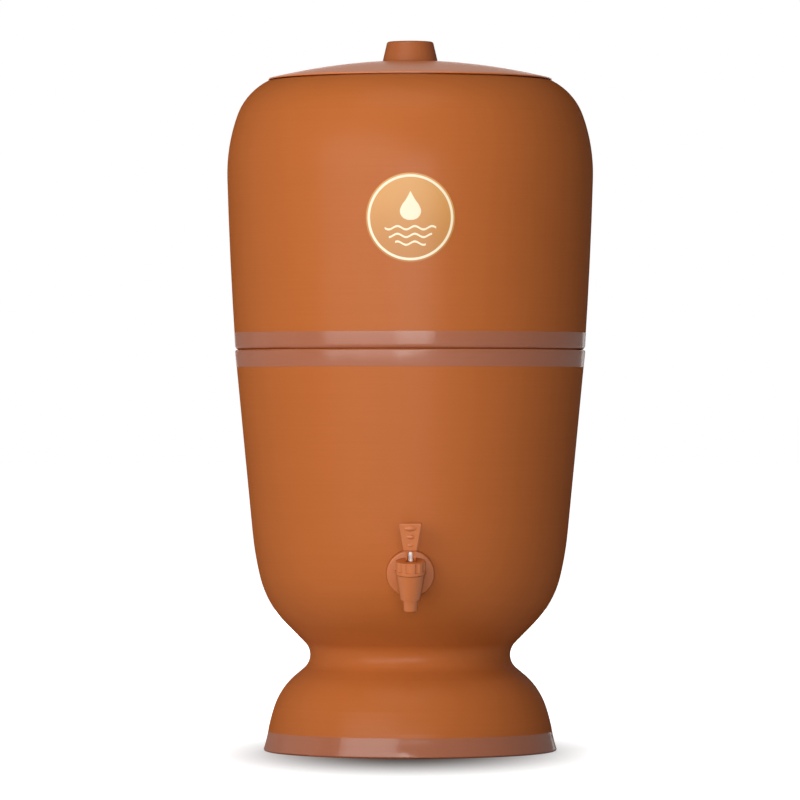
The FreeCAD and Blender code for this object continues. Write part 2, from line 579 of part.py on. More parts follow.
def upper_vessel():
    """The upper vessel, with its spigot, floor holes and the seat for the lid."""
    shoulder_r = "belly_centre + belly_curve * cos(shoulder_turn)"
    shoulder_z = "belly_level + belly_curve * sin(shoulder_turn)"
    spigot_radius = "mouth_wall - spigot_clearance"
    body = turned_part("upper_vessel", [
        ("0", "underside"),
        (f"{spigot_radius} - spigot_round", "underside", "spigot_round", LEFT),
        (spigot_radius, "underside + spigot_round"),
        (spigot_radius, "joint_level"),
        ("joint_radius - upper_edge_round", "joint_level", "upper_edge_round", LEFT),
        ("joint_radius", "upper_side_foot", "upper_side_curve", LEFT),
        ("belly_side_r", "belly_side_z", "belly_curve", LEFT),
        (shoulder_r, shoulder_z, "shoulder_curve", LEFT),
        ("seat_radius", "seat_level"),
        ("0", "seat_level"),
    ])
    inside = drawing(body, "inside_outline")
    inner_curve = "(belly_curve - wall)"
    lip = "pow(shoulder_curve - wall; 2) - pow(mouth_radius - shoulder_centre_r; 2)"
    polygon(inside, [
        ("0", "floor_level"),
        ("mouth_wall - floor_cove", "floor_level", "floor_cove", LEFT),
        ("mouth_wall", "floor_level + floor_cove"),
        (
            f"belly_centre + {inner_curve} * cos(belly_lean)",
            f"belly_level - {inner_curve} * sin(belly_lean)",
            inner_curve,
            LEFT,
        ),
        (
            f"belly_centre + {inner_curve} * cos(shoulder_turn)",
            f"belly_level + {inner_curve} * sin(shoulder_turn)",
            "shoulder_curve - wall",
            LEFT,
        ),
        ("mouth_radius", f"shoulder_centre_z + sqrt({lip})"),
        ("mouth_radius", "seat_level"),
        ("0", "seat_level"),
    ])
    turn_cut(body, inside, "inside")
    holes = drawing(body, "candle_holes_outline", "XY_Plane",
                    "placement(vector(0; 0; floor_level); rotationx(0))")
    for place in ("candle_offset", "-candle_offset"):
        circle(holes, place, "0", "candle_hole")
    pocket(body, holes, "candle_holes", "floor_thickness")


def lid():
    """The domed lid with its knob, thin rim and locating ring."""
    bearing = "rim_radius - rim_relief_width"
    vault = "(pow(ring_inner; 2) + pow(lid_vault_rise; 2)) / (2 * lid_vault_rise)"
    knob_top = "dome_level + knob_height"
    turned_part("lid", [
        ("0", "vault_top", vault, RIGHT),
        ("ring_inner", "vault_top - lid_vault_rise"),
        ("ring_inner", "seat_level - ring_depth"),
        ("ring_outer", "seat_level - ring_depth"),
        ("ring_outer", "seat_level"),
        (bearing, "seat_level"),
        (bearing, "seat_level + rim_relief"),
        ("rim_radius - rim_round", "seat_level + rim_relief", "rim_round", LEFT),
        ("rim_radius", "seat_level + rim_relief + rim_round"),
        ("rim_radius", "rim_top - rim_round", "rim_round", LEFT),
        ("rim_radius - rim_round", "rim_top", "lid_dome_curve", LEFT),
        ("knob_foot_radius", "dome_level"),
        ("knob_top_radius", f"{knob_top} - knob_round", "knob_round", LEFT),
        ("knob_top_radius - knob_round", knob_top),
        ("0", knob_top),
    ])


def front_label():
    """A thin round label that follows the front of the upper vessel."""
    body = new_body("front_label", "placement(vector(0; 0; 0); rotationz(-90))")
    corners = []
    for layer, ends in (("0", ("+", "-")), ("label_thickness", ("-", "+"))):
        for end in ends:
            level = f"(label_level {end} label_radius)"
            bow = f"sqrt(pow(upper_side_curve; 2) - pow({level} - upper_side_z; 2))"
            corners.append([f"upper_side_r + {bow} + glue_gap + {layer}", level])
    corners[0] += ["upper_side_curve + glue_gap", RIGHT]
    corners[2] += ["upper_side_curve + glue_gap + label_thickness", LEFT]
    strip = drawing(body, "label_strip_outline")
    polygon(strip, corners)
    turn_solid(body, strip, "label_strip", angle=LABEL_SPREAD)
    trim = drawing(body, "label_trim_outline", "YZ_Plane")
    polygon(trim, [
        ("-joint_radius", "label_level - 2 * label_radius"),
        ("joint_radius", "label_level - 2 * label_radius"),
        ("joint_radius", "label_level + 2 * label_radius"),
        ("-joint_radius", "label_level + 2 * label_radius"),
    ])
    circle(trim, "0", "label_level", "label_radius")
    pocket(body, trim, "label_trim")


def candle(index, turn):
    """A ceramic filter candle: shell, carbon core, dish with its hollow stem, seals and nut."""
    frame = f"placement(vector(candle_offset * cos({turn}); 0; floor_level); rotationz({turn}))"
    name = f"candle_{index}_"
    turned_part(name + "shell", [
        ("candle_radius - candle_wall", "candle_seat"),
        ("candle_radius", "candle_seat"),
        ("candle_radius", "candle_dome", "candle_radius", LEFT),
        ("0", "candle_dome + candle_radius"),
        ("0", "candle_dome + candle_radius - candle_wall", "candle_radius - candle_wall", RIGHT),
        ("candle_radius - candle_wall", "candle_dome"),
    ], frame)
    turned_part(name + "carbon_core", [
        ("0", "candle_seat"),
        ("carbon_radius", "candle_seat"),
        ("carbon_radius", "candle_dome", "carbon_radius", LEFT),
        ("0", "candle_dome + carbon_radius"),
    ], frame)
    turned_part(name + "dish", [
        ("candle_bore_radius", "-stem_depth"),
        ("candle_stem_radius", "-stem_depth"),
        ("candle_stem_radius", "gasket_thickness"),
        ("dish_radius", "gasket_thickness"),
        ("dish_radius", "candle_seat + dish_depth"),
        ("dish_radius - dish_wall", "candle_seat + dish_depth"),
        ("dish_radius - dish_wall", "candle_seat"),
        ("candle_bore_radius", "candle_seat"),
    ], frame)
    bore = "candle_stem_radius + thread_gap"
    ring_part(name + "gasket", bore, "gasket_radius", "0", "gasket_thickness", frame)
    ring_part(name + "washer", bore, "candle_washer_radius",
              "-floor_thickness - candle_washer_thickness", "-floor_thickness", frame)
    hex_nut(name + "nut", "candle_nut_flats", bore, "-nut_underside", "candle_nut_height", frame)


def float_valve(index, turn):
    """The valve under a candle that a float shuts when the lower vessel is full."""
    frame = f"placement(vector(candle_offset * cos({turn}); 0; floor_level); rotationz({turn}))"
    name = f"float_{index}_"
    socket = "candle_stem_radius + thread_gap"
    body = turned_part(name + "valve_body", [
        (socket, "-valve_top"),
        (socket, "-valve_top - valve_socket_depth"),
        ("valve_outlet_radius", "-valve_top - valve_socket_depth"),
        ("valve_outlet_radius", "-spout_mouth"),
        ("valve_spout_radius", "-spout_mouth"),
        ("valve_spout_radius", "-valve_foot"),
        ("valve_body_radius", "-valve_foot"),
        ("valve_body_radius", "-valve_top"),
    ], frame)
    ears = drawing(body, name + "ears_outline")
    ear_in = "(-valve_pin_offset + valve_ear_depth / 2)"
    ear_out = "(-valve_pin_offset - valve_ear_depth / 2)"
    ear_end = "(-float_pin_depth - valve_ear_depth / 2)"
    polygon(ears, [
        (ear_out, "-valve_foot"),
        (ear_out, "-float_pin_depth"),
        (f"{ear_out} + valve_ear_depth / 4", ear_end),
        (f"{ear_in} - valve_ear_depth / 4", ear_end),
        (ear_in, "-float_pin_depth"),
        (ear_in, "-valve_foot"),
    ])
    pad(body, ears, name + "ears", "2 * ear_outer", midplane=True)
    gap = drawing(body, name + "ear_gap_outline", "YZ_Plane",
                  f"placement(vector(0; 0; {ear_in}); rotationx(0))")
    polygon(gap, [
        ("-ear_inner", ear_end),
        ("ear_inner", ear_end),
        ("ear_inner", "-valve_foot"),
        ("-ear_inner", "-valve_foot"),
    ])
    pocket(body, gap, name + "ear_gap", "valve_ear_depth")
    pin_hole = drawing(body, name + "ear_hole_outline")
    circle(pin_hole, "-valve_pin_offset", "-float_pin_depth", "valve_pin_radius + valve_pin_gap")
    pocket(body, pin_hole, name + "ear_hole")
    float_swing(name, turn)


def float_swing(name, turn):
    """The float with its arm, pad and pin, hanging open as in an empty vessel."""
    pin_x = f"(candle_offset - valve_pin_offset) * cos({turn})"
    pin_place = f"vector({pin_x}; 0; floor_level - float_pin_depth)"
    frame = f"placement({pin_place}; rotationz({turn}) * rotationy(float_slope))"
    pin = new_body(name + "pin", frame)
    pin_round = drawing(pin, name + "pin_outline")
    circle(pin_round, "0", "0", "valve_pin_radius")
    pad(pin, pin_round, name + "pin_rod", "2 * ear_outer", midplane=True)
    arm = new_body(name + "arm", frame)
    bar = drawing(arm, name + "bar_outline")
    polygon(bar, [
        ("-valve_ear_depth / 2", "-float_arm_thickness / 2"),
        ("float_reach", "-float_arm_thickness / 2"),
        ("float_reach", "float_arm_thickness / 2"),
        ("-valve_ear_depth / 2", "float_arm_thickness / 2"),
    ])
    pad(arm, bar, name + "bar", "float_arm_width", midplane=True)
    plates = drawing(arm, name + "plates_outline", "XY_Plane")
    circle(plates, "valve_pin_offset", "0", "pad_radius + pad_rim")
    circle(plates, "float_reach", "0", "float_plate_radius")
    pad(arm, plates, name + "plates", "float_arm_thickness", midplane=True)
    stud = drawing(arm, name + "stud_outline", "XY_Plane")
    circle(stud, "float_reach", "0", "float_stud_radius")
    pad(arm, stud, name + "stud", "float_arm_thickness + 2 * float_stud_length", midplane=True)
    stud_top = drawing(arm, name + "stud_top_outline", "XY_Plane",
                       "placement(vector(0; 0; float_arm_thickness / 2 + float_stud_length); rotationx(0))")
    circle(stud_top, "float_reach", "0", "float_plate_radius")
    pocket(arm, stud_top, name + "stud_top", "float_stud_length")
    recess = drawing(arm, name + "recess_outline", "XY_Plane",
                     "placement(vector(0; 0; float_arm_thickness / 2); rotationx(0))")
    circle(recess, "valve_pin_offset", "0", "pad_radius")
    pocket(arm, recess, name + "recess", "pad_recess")
    eye = drawing(arm, name + "eye_outline")
    circle(eye, "0", "0", "valve_pin_radius + valve_pin_gap")
    pocket(arm, eye, name + "eye")
    along = "placement(vector({0}; 0; 0); rotationx(0))"
    turned_part(name + "pad", [
        ("0", "float_arm_thickness / 2 - pad_recess"),
        ("pad_radius", "float_arm_thickness / 2 - pad_recess"),
        ("pad_radius", "valve_pin_drop - pad_gap"),
        ("0", "valve_pin_drop - pad_gap"),
    ], f"{frame} * {along.format('valve_pin_offset')}")
    top = "-float_arm_thickness / 2"
    foot = f"({top} - float_height)"
    turned_part(name + "ball", [
        ("0", foot),
        ("float_radius - float_round", foot, "float_round", LEFT),
        ("float_radius", f"{foot} + float_round"),
        ("float_radius", f"{top} - float_round", "float_round", LEFT),
        ("float_radius - float_round", top),
        ("float_stud_radius + float_stud_gap", top),
        ("float_stud_radius + float_stud_gap", f"{top} - float_stud_length - float_stud_gap"),
        ("0", f"{top} - float_stud_length - float_stud_gap"),
    ], f"{frame} * {along.format('float_reach')}")


SHANK = "placement(vector(0; -tap_reach; tap_level); rotationx(90 + tap_tilt))"
BARREL = "placement(vector(0; barrel_y; barrel_z); rotationx(tap_tilt))"
LEVER = "placement(vector(0; pin_y; pin_z); rotationx(tap_tilt))"


def tap_body():
    """Shank, flange, barrel and nozzle in one moulding. Its own +Z points out of the wall."""
    body = turned_part("tap_body", [
        ("0", "-shank_end"),
        ("shank_radius", "-shank_end"),
        ("shank_radius", "-flange_back"),
        ("flange_radius", "-flange_back"),
        ("flange_radius", "flange_front - flange_round", "flange_round", LEFT),
        ("flange_radius - flange_round", "flange_front"),
        ("neck_tube_radius", "flange_front + flange_crown"),
        ("neck_tube_radius", "barrel_reach"),
        ("0", "barrel_reach"),
    ], SHANK)
    on_axis = "placement(vector(0; barrel_reach; 0); rotationx(0))"
    barrel = drawing(body, "barrel_outline", "YZ_Plane", on_axis)
    polygon(barrel, [
        ("nozzle_mouth", "0"),
        ("nozzle_mouth", "nozzle_tip_radius - nozzle_round", "nozzle_round", RIGHT),
        ("nozzle_mouth + nozzle_round", "nozzle_tip_radius"),
        ("-barrel_foot_drop", "nozzle_top_radius"),
        ("-barrel_foot_drop", "barrel_foot_radius"),
        ("barrel_top_rise", "barrel_top_radius"),
        ("barrel_top_rise", "thread_radius"),
        ("thread_top", "thread_radius"),
        ("thread_top", "0"),
    ])
    turn_solid(body, barrel, "barrel", "H_Axis")
    chamber = drawing(body, "chamber_outline", "YZ_Plane", on_axis)
    polygon(chamber, [
        ("nozzle_mouth", "0"),
        ("nozzle_mouth", "nozzle_bore_radius"),
        ("-seat_drop", "nozzle_bore_radius"),
        ("-seat_drop", "chamber_foot_radius"),
        ("-seat_drop + chamber_cone", "chamber_radius"),
        ("thread_top", "chamber_radius"),
        ("thread_top", "0"),
    ])
    turn_cut(body, chamber, "chamber", "H_Axis")
    bore = drawing(body, "shank_bore_outline")
    polygon(bore, [
        ("0", "-shank_end"),
        ("shank_bore_radius", "-shank_end"),
        ("shank_bore_radius", "barrel_reach"),
        ("0", "barrel_reach"),
    ])
    turn_cut(body, bore, "shank_bore")


def tap_seals():
    """The washers and nut that clamp the tap to the wall, and the seal under the bonnet."""
    bore = "shank_radius + thread_gap"
    ring_part("tap_outer_washer", bore, "flange_radius - outer_washer_inset",
              "-tap_seat_depth", "-flange_back", SHANK)
    ring_part("tap_inner_washer", bore, "inner_washer_radius",
              "-wall - inner_washer_thickness", "-wall", SHANK)
    hex_nut("tap_nut", "tap_nut_flats", bore, "-tap_nut_end", "tap_nut_height", SHANK)
    ring_part("tap_stem_seal", "stem_radius + stem_gap", "thread_radius",
              "thread_top", "bonnet_ceiling", BARREL)


def tap_bonnet():
    """The fluted cap screwed over the top of the barrel."""
    stem_hole = "stem_radius + stem_gap"
    inner = "thread_radius + thread_gap"
    body = turned_part("tap_bonnet", [
        (stem_hole, "bonnet_ceiling"),
        (inner, "bonnet_ceiling"),
        (inner, "bonnet_foot"),
        ("bonnet_lip_radius - bonnet_lip_round", "bonnet_foot", "bonnet_lip_round", LEFT),
        ("bonnet_lip_radius", "bonnet_foot + bonnet_lip_round"),
        ("bonnet_lip_radius", "bonnet_foot + bonnet_lip_height"),
        ("bonnet_radius", "bonnet_foot + bonnet_lip_height"),
        ("bonnet_radius", "bonnet_top - bonnet_round", "bonnet_round", LEFT),
        ("bonnet_radius - bonnet_round", "bonnet_top"),
        (stem_hole, "bonnet_top"),
    ], f"{BARREL} * placement(vector(0; 0; 0); rotationz(flute_turn))")
    flute = drawing(body, "flute_outline", "XY_Plane", "placement(vector(0; 0; bonnet_top); rotationx(0))")
    circle(flute, "bonnet_radius + flute_curve - flute_depth", "0", "flute_curve")
    first = pocket(body, flute, "flute", "bonnet_height - bonnet_lip_height")
    upright = [feature for feature in body.Origin.OriginFeatures if feature.Role == "Z_Axis"]
    flutes = body.newObject("PartDesign::PolarPattern", "flutes")
    flutes.Originals = [first]
    flutes.Axis = (upright[0], [""])
    flutes.Angle = FULL_TURN
    flutes.setExpression("Occurrences", cells("flute_count"))
    body.Tip = flutes
    doc.recompute()


def tap_stem():
    """The stem that lifts the plug, with a round head crossed by the lever's pin."""
    body = turned_part("tap_stem", [
        ("0", "plug_top - spigot_pin_length"),
        ("spigot_pin_radius", "plug_top - spigot_pin_length"),
        ("spigot_pin_radius", "plug_top"),
        ("stem_foot_radius", "plug_top"),
        ("stem_foot_radius", "plug_top + stem_foot_height"),
        ("stem_radius", "plug_top + stem_foot_height"),
        ("stem_radius", "stem_top - stem_radius", "stem_radius", LEFT),
        ("0", "stem_top"),
    ], BARREL)
    eye = drawing(body, "stem_eye_outline", "YZ_Plane")
    circle(eye, "0", "pin_height", "lever_pin_radius + lever_pin_gap")
    pocket(body, eye, "stem_eye")
    turned_part("tap_seat_plug", [
        ("0", "plug_foot"),
        ("plug_tip_radius", "plug_foot"),
        ("plug_radius", "plug_top"),
        ("spigot_pin_radius", "plug_top"),
        ("spigot_pin_radius", "plug_top - spigot_pin_length"),
        ("0", "plug_top - spigot_pin_length"),
    ], BARREL)


def tap_lever():
    """The lever: a paddle on a fork whose cam climbs on the bonnet as the paddle tips forward."""
    body = new_body("tap_lever", LEVER)
    fork = drawing(body, "fork_outline", "YZ_Plane")
    polygon(fork, [
        ("-cam_nose", "cam_rate", "cam_high_curve", LEFT),
        ("-(cam_half + cam_rate) * sqrt(0.5)", "-(cam_half - cam_rate) * sqrt(0.5)",
         "cam_low_curve", LEFT),
        ("-cam_rate", "-cam_foot"),
        ("lever_back - lever_heel", "-cam_foot", "lever_heel", LEFT),
        ("lever_back", "-cam_foot + lever_heel"),
        ("lever_back", "lever_foot_rise"),
        ("-lever_front", "lever_foot_rise"),
    ])
    pad(body, fork, "fork", "2 * fork_half", midplane=True)
    for layer, start, depth in (("paddle", "-lever_back", "lever_back + lever_front - lever_bevel"),
                                ("paddle_face", "lever_front - lever_bevel", "lever_bevel")):
        outline = drawing(body, f"{layer}_outline", "XZ_Plane",
                          f"placement(vector(0; 0; {start}); rotationx(0))")
        polygon(outline, [
            ("-lever_foot_width / 2", "lever_foot_rise"),
            ("lever_foot_width / 2", "lever_foot_rise"),
            ("lever_top_width / 2", "lever_top_rise - lever_corner", "lever_corner", LEFT),
            ("lever_top_width / 2 - lever_corner", "lever_top_rise"),
            ("-lever_top_width / 2 + lever_corner", "lever_top_rise", "lever_corner", LEFT),
            ("-lever_top_width / 2", "lever_top_rise - lever_corner"),
        ])
        pad(body, outline, layer, depth)
    doc.getObject("paddle_face").TaperAngle = -BEVEL_SLOPE
    for step in range(int(number("grip_count"))):
        half = f"(grip_first_width - {step} * grip_shrink) / 2"
        thick = f"(grip_thickness - {step} * grip_thinning)"
        level = f"lever_top_rise - grip_top_drop - {step} * grip_pitch"
        grip = drawing(body, f"grip_{step + 1}_outline", "XZ_Plane",
                       f"placement(vector(0; {level}; lever_front - grip_sink); rotationx(0))")
        polygon(grip, [
            (f"-{half}", "0"),
            (half, "0", f"(pow({half}; 2) + pow({thick} / 2; 2)) / {thick}", LEFT),
        ])
        turn_solid(body, grip, f"grip_{step + 1}", "H_Axis")
    slot = drawing(body, "fork_gap_outline")
    polygon(slot, [
        ("-fork_gap / 2", "-cam_foot"),
        ("fork_gap / 2", "-cam_foot"),
        ("fork_gap / 2", "lever_foot_rise"),
        ("-fork_gap / 2", "lever_foot_rise"),
    ])
    pocket(body, slot, "fork_slot")
    eye = drawing(body, "lever_eye_outline", "YZ_Plane")
    circle(eye, "0", "0", "lever_pin_radius + lever_pin_gap")
    pocket(body, eye, "lever_eye")
    pin = new_body("tap_lever_pin", LEVER)
    rod = drawing(pin, "lever_pin_outline", "YZ_Plane")
    circle(rod, "0", "0", "lever_pin_radius")
    pad(pin, rod, "lever_pin_rod", "2 * fork_half", midplane=True)


def write_parts():
    """Check every object and write each sub-part to a file of its own name."""
    doc.recompute()
    for item in doc.Objects:
        if "Invalid" in item.State or "Error" in item.State:
            raise RuntimeError(f"{item.Label} failed")
    os.makedirs("parts", exist_ok=True)
    for body in PARTS:
        shape = body.Shape
        if shape.isNull() or not shape.isValid() or len(shape.Solids) != 1:
            raise RuntimeError(f"{body.Label} is not one valid solid")
        shape.exportStep(f"parts/{body.Label}.step")
        print(f"{body.Label}: {shape.Volume:.0f} mm3")


lower_vessel()
upper_vessel()
lid()
front_label()
for candle_index, candle_turn in CANDLES:
    candle(candle_index, candle_turn)
    float_valve(candle_index, candle_turn)
tap_body()
tap_seals()
tap_bonnet()
tap_stem()
tap_lever()
write_parts()
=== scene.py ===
import json
import math

import bmesh
import bpy
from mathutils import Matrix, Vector


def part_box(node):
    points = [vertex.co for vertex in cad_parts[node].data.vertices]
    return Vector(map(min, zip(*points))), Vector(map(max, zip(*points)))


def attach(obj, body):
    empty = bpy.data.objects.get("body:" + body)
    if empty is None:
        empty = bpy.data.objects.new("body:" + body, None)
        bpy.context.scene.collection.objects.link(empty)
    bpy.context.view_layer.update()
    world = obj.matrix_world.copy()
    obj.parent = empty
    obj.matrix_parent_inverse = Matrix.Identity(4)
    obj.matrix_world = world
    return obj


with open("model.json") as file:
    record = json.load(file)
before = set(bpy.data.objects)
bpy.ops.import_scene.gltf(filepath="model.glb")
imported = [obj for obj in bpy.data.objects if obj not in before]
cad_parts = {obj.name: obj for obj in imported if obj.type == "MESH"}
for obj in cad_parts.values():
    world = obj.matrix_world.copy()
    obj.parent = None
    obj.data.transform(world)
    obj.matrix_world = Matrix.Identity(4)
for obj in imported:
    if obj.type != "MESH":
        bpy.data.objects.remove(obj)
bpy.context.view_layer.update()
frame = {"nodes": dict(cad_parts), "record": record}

# Clay water pot: a lidded upper vessel on a footed lower vessel with a lever tap.
# Metres, in the part's own frame: +Z up from the foot's ground, the tap towards -Y.

NODES = frame["nodes"]

LID_TO_KNOB = 0.0224    # from the lid's lowest edge to just under the knob's foot
JOINT_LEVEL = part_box("lower_vessel")[1].z
KNOB_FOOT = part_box("lid")[0].z + LID_TO_KNOB
KNOB_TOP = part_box("lid")[1].z


# ---------------------------------------------------------------- node trees

def place(tree, kind, sockets=None, **settings):
    """Add a node; each socket is given a value or another node's output."""
    made = tree.nodes.new(kind)
    for name, value in settings.items():
        setattr(made, name, value)
    for key, value in (sockets or {}).items():
        if isinstance(value, bpy.types.NodeSocket):
            tree.links.new(value, made.inputs[key])
        else:
            made.inputs[key].default_value = value
    return made


def maths(tree, operation, first, second=0.0):
    return place(tree, "ShaderNodeMath", {0: first, 1: second}, operation=operation).outputs[0]


def plus(tree, first, second):
    return maths(tree, "ADD", first, second)


def less(tree, first, second):
    return maths(tree, "SUBTRACT", first, second)


def times(tree, first, second):
    return maths(tree, "MULTIPLY", first, second)


def vector_maths(tree, operation, first, second=(0.0, 0.0, 0.0)):
    return place(tree, "ShaderNodeVectorMath", {0: first, 1: second}, operation=operation).outputs


def step_up(tree, value, low, high):
    """0 below low, 1 above high and a soft rise between."""
    made = place(tree, "ShaderNodeMapRange",
                 {"Value": value, "From Min": low, "From Max": high}, interpolation_type="SMOOTHSTEP")
    return made.outputs["Result"]


def mixed(tree, share, first, second):
    """A colour between two colours: the first at a share of 0, the second at 1."""
    return place(tree, "ShaderNodeMix", {0: share, 6: first, 7: second}, data_type="RGBA").outputs[2]


def noise(tree, vector, scale, detail, roughness):
    made = place(tree, "ShaderNodeTexNoise",
                 {"Vector": vector, "Scale": scale, "Detail": detail, "Roughness": roughness})
    return made.outputs["Fac"]


def object_coords(tree):
    return place(tree, "ShaderNodeTexCoord").outputs["Object"]


def split(tree, vector):
    """The three parts of a place: across, towards the back, and up."""
    return place(tree, "ShaderNodeSeparateXYZ", {0: vector}).outputs


# ---------------------------------------------------------------- shared effects

RING_SLANT = 1.37       # a ring lies this much higher for each metre out, so a flat lid has rings too
RING_DRIFT = 9.0        # how often a ring fades and comes back on its way round, per metre


def new_group(name, inputs, outputs):
    """A shader node group with named float inputs and outputs."""
    tree = bpy.data.node_groups.new(name, "ShaderNodeTree")
    for label, value in inputs.items():
        socket = tree.interface.new_socket(label, in_out="INPUT", socket_type="NodeSocketFloat")
        socket.default_value = value
    for label in outputs:
        tree.interface.new_socket(label, in_out="OUTPUT", socket_type="NodeSocketFloat")
    return tree, tree.nodes.new("NodeGroupInput").outputs, tree.nodes.new("NodeGroupOutput").inputs


def use_group(tree, group, **values):
    sockets = {label.replace("_", " "): value for label, value in values.items()}
    return place(tree, "ShaderNodeGroup", sockets, node_tree=group).outputs


def wheel_marks_group():
    """Fine rings left by turning on the wheel, with the clay's mottling and grain."""
    tree, given, result = new_group(
        "wheel_marks", {"Ring Pitch": 0.0011, "Mottle Size": 0.04, "Grain Size": 0.0005},
        ("Rings", "Mottle", "Grain"))
    coords = object_coords(tree)
    across, back, up = split(tree, coords)
    out = maths(tree, "SQRT", plus(tree, times(tree, across, across), times(tree, back, back)))
    climb = less(tree, up, times(tree, out, RING_SLANT))
    ring = maths(tree, "DIVIDE", climb, given["Ring Pitch"])
    drift = vector_maths(tree, "MULTIPLY", coords, (RING_DRIFT, RING_DRIFT, 0.0))[0]
    track = place(tree, "ShaderNodeCombineXYZ", {"Z": ring}).outputs[0]
    rings_at = vector_maths(tree, "ADD", drift, track)[0]
    mottles = maths(tree, "DIVIDE", 1.0, given["Mottle Size"])
    grains = maths(tree, "DIVIDE", 1.0, given["Grain Size"])
    tree.links.new(noise(tree, rings_at, scale=1.0, detail=3.0, roughness=0.65), result["Rings"])
    tree.links.new(noise(tree, coords, scale=mottles, detail=3.0, roughness=0.55), result["Mottle"])
    tree.links.new(noise(tree, coords, scale=grains, detail=2.0, roughness=0.6), result["Grain"])
    return tree


def speckle_group():
    """Scattered grains or beads of a given size, with a shade for each."""
    tree, given, result = new_group("speckle", {"Size": 0.001}, ("Shade", "Edge"))
    scale = maths(tree, "DIVIDE", 1.0, given["Size"])
    cells = place(tree, "ShaderNodeTexVoronoi", {"Vector": object_coords(tree), "Scale": scale}).outputs
    shade = place(tree, "ShaderNodeSeparateColor", {0: cells["Color"]}).outputs[0]
    tree.links.new(shade, result["Shade"])
    tree.links.new(cells["Distance"], result["Edge"])
    return tree


WHEEL_MARKS = wheel_marks_group()
SPECKLE = speckle_group()


def new_material(name, **surface_values):
    """A material with a Principled surface; returns it, its tree and that node's inputs."""
    material = bpy.data.materials.new(name)
    material.use_nodes = True
    surface = material.node_tree.nodes["Principled BSDF"].inputs
    for label, value in surface_values.items():
        surface[label.replace("_", " ")].default_value = value
    return material, material.node_tree, surface


def blend_of(tree, marks, **shares):
    """The marks added up, each by its own share."""
    total = None
    for label, share in shares.items():
        part = times(tree, marks[label], share)
        total = part if total is None else plus(tree, total, part)
    return total


def roughened(tree, surface, least, spread, mark):
    """A roughness of the least, and up to the spread more where a mark is strong."""
    tree.links.new(plus(tree, least, times(tree, mark, spread)), surface["Roughness"])


def bumped(tree, surface, height, depth):
    """Raise the surface by a height; depth is the real relief for a height of 1."""
    made = place(tree, "ShaderNodeBump", {"Height": height, "Distance": depth})
    tree.links.new(made.outputs["Normal"], surface["Normal"])


def sheen(tree, gloss, edge_loss=1.0):
    """A sheen whose share is gloss seen straight on; edge_loss is how fast it fades at a low angle."""
    facing = place(tree, "ShaderNodeLayerWeight", {"Blend": 0.5}).outputs["Facing"]
    return times(tree, maths(tree, "POWER", less(tree, 1.0, facing), edge_loss), gloss)


# ---------------------------------------------------------------- clay and slip

BODY_DARK = (0.458, 0.124, 0.0270, 1.0)
BODY_LIGHT = (0.486, 0.133, 0.0310, 1.0)
SLIP_DARK = (0.358, 0.109, 0.047, 1.0)
SLIP_LIGHT = (0.382, 0.118, 0.053, 1.0)
# the knob's clay is painted darker by this share, a painted shade, and given more gloss
KNOB_PAINTED_SHADE = 0.78
KNOB_GLOSS = 0.8
KNOB_EDGE_LOSS = 2.0
KNOB_STRETCH_EDGE = 0.0004   # half the height over which the knob's painted-darker stretch fades
KNOB_SPARE = 0.001      # how far the knob's stretch goes on above the knob's top
TONE_RANGE = (0.25, 0.75)   # the blends of marks that give the dark and the light clay
CLAY_RELIEF = 0.00003
SLIP_RELIEF = 0.00001


def shaded(colour, shade):
    """The same colour, darker or lighter."""
    return tuple(part * shade for part in colour[:3]) + (1.0,)


def clay_tone(tree, marks):
    """How light the clay is: the rings of turning, the mottling and the grain together."""
    return step_up(tree, blend_of(tree, marks, Rings=0.5, Mottle=0.35, Grain=0.15), *TONE_RANGE)


def clay_colour(tree, tone, shade):
    return mixed(tree, tone, shaded(BODY_DARK, shade), shaded(BODY_LIGHT, shade))


def between_levels(tree, low, high):
    """1 between two levels and 0 outside them, with a soft edge."""
    up = split(tree, object_coords(tree))[2]
    rise = step_up(tree, up, low - KNOB_STRETCH_EDGE, low + KNOB_STRETCH_EDGE)
    fall = step_up(tree, up, high - KNOB_STRETCH_EDGE, high + KNOB_STRETCH_EDGE)
    return times(tree, rise, less(tree, 1.0, fall))


def fired_clay(name, shade=1.0, gloss=0.27, edge_loss=1.6, knob_levels=None):
    """Wheel-turned terracotta; between two levels, over the knob, it is painted darker, a painted shade, and
    glossier.
    """
    material, tree, surface = new_material(name, IOR=1.45, Specular_IOR_Level=0.0, Coat_Roughness=0.32)
    marks = use_group(tree, WHEEL_MARKS)
    tone = clay_tone(tree, marks)
    colour = clay_colour(tree, tone, shade)
    polish = sheen(tree, gloss, edge_loss)
    if knob_levels:
        knob_mask = between_levels(tree, *knob_levels)
        rubbed = sheen(tree, KNOB_GLOSS, KNOB_EDGE_LOSS)
        # painted shade: the clay over the knob is drawn darker than the rest
        colour = mixed(tree, knob_mask, colour, clay_colour(tree, tone, KNOB_PAINTED_SHADE))
        polish = plus(tree, times(tree, knob_mask, rubbed), times(tree, less(tree, 1.0, knob_mask), polish))
    tree.links.new(colour, surface["Base Color"])
    tree.links.new(polish, surface["Coat Weight"])
    roughened(tree, surface, least=0.75, spread=0.15, mark=marks["Grain"])
    bumped(tree, surface, blend_of(tree, marks, Rings=0.7, Grain=0.3), CLAY_RELIEF)
    return material


def burnished_slip():
    """The coat of slip on the bands, rubbed smooth while the pot turned."""
    material, tree, surface = new_material("burnished_slip", Specular_IOR_Level=0.0, Coat_Roughness=0.17)
    marks = use_group(tree, WHEEL_MARKS)
    tree.links.new(mixed(tree, clay_tone(tree, marks), SLIP_DARK, SLIP_LIGHT), surface["Base Color"])
    tree.links.new(sheen(tree, gloss=0.7, edge_loss=0.8), surface["Coat Weight"])
    roughened(tree, surface, least=0.45, spread=0.15, mark=marks["Grain"])
    bumped(tree, surface, marks["Rings"], SLIP_RELIEF)
    return material


# ---------------------------------------------------------------- plastic, rubber, steel and grains

